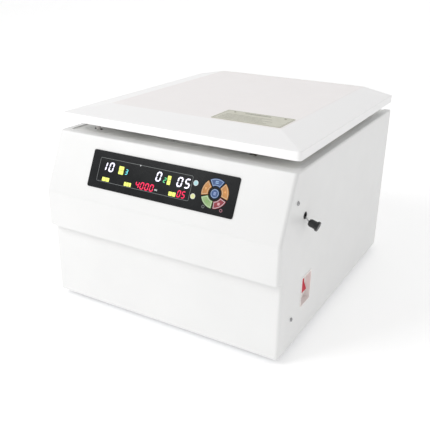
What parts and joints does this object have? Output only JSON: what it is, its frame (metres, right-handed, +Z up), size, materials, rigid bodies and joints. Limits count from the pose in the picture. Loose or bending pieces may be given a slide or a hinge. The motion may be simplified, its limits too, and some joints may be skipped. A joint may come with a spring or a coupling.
{
  "type": "laboratory centrifuge",
  "caption": "Benchtop laboratory centrifuge: sheet-metal case with sloping control panel, hinged flat lid, side power switch and release pull, and a swing-out rotor in a steel bowl.",
  "frame": {"origin": "on the bench under the middle of the case's footprint", "axes": "+X to the operator's right, +Y from the control panel to the back, +Z up"},
  "size_m": [0.4246, 0.4701, 0.3143],
  "materials": {
    "case_paint": "fine satin powder coat",
    "front_paint": "fine satin powder coat",
    "lid_paint": "satin powder coat, a little warmer than the case",
    "deck_paint": "satin powder coat",
    "liner_paint": "satin",
    "galvanised_steel": "dull spangled",
    "stainless_bowl": "satin, brushed round the bowl",
    "seal_rubber": "matt pale grey silicone",
    "foot_rubber": "matt",
    "boot_rubber": "matt",
    "damper_rubber": "matt",
    "cushion_rubber": "matt red-brown",
    "motor_paint": "semi-gloss enamel",
    "cast_caps": "cast",
    "bearing_steel": "polished",
    "shaft_steel": "ground",
    "magnet": "dull",
    "yoke_aluminium": "machined and clear anodised",
    "pin_steel": "polished",
    "hand_nut": "black anodised",
    "bucket_steel": "turned",
    "fitting_steel": "zinc plated",
    "hinge_steel": "nickel plated",
    "label_metal": "pale gold anodised",
    "rivet_metal": "bright",
    "black_plastic": "fine texture",
    "switch_ivory": "satin ivory moulding",
    "plunger_metal": "polished",
    "panel_black": "gloss",
    "numerals": "lit numerals behind dark glass",
    "board_green": "solder mask",
    "key_blue": "satin film",
    "key_orange": "satin film",
    "key_red": "satin film",
    "key_green": "satin film",
    "rocker_red": "gloss",
    "knob_black": "satin",
    "wire_steel": "drawn",
    "screw_steel": "zinc plated",
    "guard_chrome": "plated wire",
    "heat_sink_aluminium": "extruded"
  },
  "bodies": {
    "chassis": {"base_pan": "galvanised_steel", "rubber_feet": "foot_rubber", "housing_wrap": "case_paint", "lower_front_panel": "front_paint", "rear_panel": "case_paint", "top_deck": "deck_paint", "deck_seal": "seal_rubber", "chamber_bowl": "stainless_bowl", "shaft_boot": "boot_rubber", "motor_plate": "galvanised_steel", "vibration_dampers": "damper_rubber", "motor_can": "motor_paint", "motor_end_caps": "cast_caps", "motor_bearings": "bearing_steel", "fan_frame": "black_plastic", "fan_guard": "guard_chrome", "drive_board": "board_green", "heat_sink": "heat_sink_aluminium", "display_board": "board_green", "digit_modules": "numerals", "control_panel": "panel_black", "switch_body": "switch_ivory", "power_inlet": "black_plastic", "release_grommet": "black_plastic", "lock_body": "fitting_steel", "lid_switch_bushing": "switch_ivory", "hinge_deck_leaves": "hinge_steel", "case_screws": "screw_steel"},
    "rotor": {"motor_shaft": "shaft_steel", "motor_magnet": "magnet", "rotor_yoke": "yoke_aluminium", "trunnion_pins": "pin_steel", "rotor_nut": "hand_nut"},
    "lid": {"lid_shell": "lid_paint", "lid_liner": "liner_paint", "lid_striker": "fitting_steel", "lid_label": "label_metal", "label_rivets": "rivet_metal", "hinge_lid_leaves": "hinge_steel", "hinge_pins": "pin_steel"},
    "power_rocker": {"rocker": "rocker_red"},
    "release_pull": {"release_wire": "wire_steel", "release_knob": "knob_black"},
    "lock_bolt": {"lock_bolt": "fitting_steel"},
    "lid_switch_plunger": {"lid_switch_plunger": "plunger_metal"},
    "fan_impeller": {"fan_impeller": "black_plastic"},
    "bucket_1": {"bucket_1": "bucket_steel", "bucket_cushion_1": "cushion_rubber"},
    "bucket_2": {"bucket_2": "bucket_steel", "bucket_cushion_2": "cushion_rubber"},
    "bucket_3": {"bucket_3": "bucket_steel", "bucket_cushion_3": "cushion_rubber"},
    "bucket_4": {"bucket_4": "bucket_steel", "bucket_cushion_4": "cushion_rubber"},
    "key_up": {"key_up": "key_blue"},
    "key_mode": {"key_mode": "key_orange"},
    "key_stop": {"key_stop": "key_red"},
    "key_start": {"key_start": "key_green"},
    "key_down": {"key_down": "key_orange"},
    "key_centre": {"key_centre": "key_blue"}
  },
  "joints": [
    {"name": "lid_hinge", "type": "hinge", "parent": "chassis", "child": "lid", "pos_m": [0, 0.228, 0.283], "axis": [-1, 0, 0], "range_deg": [0, 80]},
    {"name": "rotor_spin", "type": "hinge", "parent": "chassis", "child": "rotor", "pos_m": [0, 0.025, 0.2], "axis": [0, 0, 1], "continuous": true},
    {"name": "bucket_1_swing", "type": "hinge", "parent": "rotor", "child": "bucket_1", "pos_m": [0.085, 0.025, 0.225], "axis": [0, -1, 0], "range_deg": [0, 90]},
    {"name": "bucket_2_swing", "type": "hinge", "parent": "rotor", "child": "bucket_2", "pos_m": [0, 0.11, 0.225], "axis": [1, 0, 0], "range_deg": [0, 90]},
    {"name": "bucket_3_swing", "type": "hinge", "parent": "rotor", "child": "bucket_3", "pos_m": [-0.085, 0.025, 0.225], "axis": [0, 1, 0], "range_deg": [0, 90]},
    {"name": "bucket_4_swing", "type": "hinge", "parent": "rotor", "child": "bucket_4", "pos_m": [0, -0.06, 0.225], "axis": [-1, 0, 0], "range_deg": [0, 90]},
    {"name": "power_rocker_tilt", "type": "hinge", "parent": "chassis", "child": "power_rocker", "pos_m": [0.187, -0.133, 0.0845], "axis": [0, 1, 0], "range_deg": [0, 28]},
    {"name": "key_up_press", "type": "slide", "parent": "chassis", "child": "key_up", "axis": [0, 0.9075, -0.4201], "range_m": [0, 0.0005], "stiffness_N_per_m": 1500},
    {"name": "key_mode_press", "type": "slide", "parent": "chassis", "child": "key_mode", "axis": [0, 0.9075, -0.4201], "range_m": [0, 0.0005], "stiffness_N_per_m": 1500},
    {"name": "key_stop_press", "type": "slide", "parent": "chassis", "child": "key_stop", "axis": [0, 0.9075, -0.4201], "range_m": [0, 0.0005], "stiffness_N_per_m": 1500},
    {"name": "key_start_press", "type": "slide", "parent": "chassis", "child": "key_start", "axis": [0, 0.9075, -0.4201], "range_m": [0, 0.0005], "stiffness_N_per_m": 1500},
    {"name": "key_down_press", "type": "slide", "parent": "chassis", "child": "key_down", "axis": [0, 0.9075, -0.4201], "range_m": [0, 0.0005], "stiffness_N_per_m": 1500},
    {"name": "key_centre_press", "type": "slide", "parent": "chassis", "child": "key_centre", "axis": [0, 0.9075, -0.4201], "range_m": [0, 0.0005], "stiffness_N_per_m": 1500},
    {"name": "release_pull_slide", "type": "slide", "parent": "chassis", "child": "release_pull", "axis": [1, 0, 0], "range_m": [0, 0.01], "stiffness_N_per_m": 400},
    {"name": "lock_bolt_slide", "type": "slide", "parent": "chassis", "child": "lock_bolt", "axis": [-1, 0, 0], "range_m": [0, 0.012]},
    {"name": "lid_switch_press", "type": "slide", "parent": "chassis", "child": "lid_switch_plunger", "axis": [0, 0, 1], "range_m": [-0.003, 0], "stiffness_N_per_m": 300},
    {"name": "fan_spin", "type": "hinge", "parent": "chassis", "child": "fan_impeller", "pos_m": [-0.095, 0.22, 0.095], "axis": [0, 1, 0], "continuous": true}
  ]
}
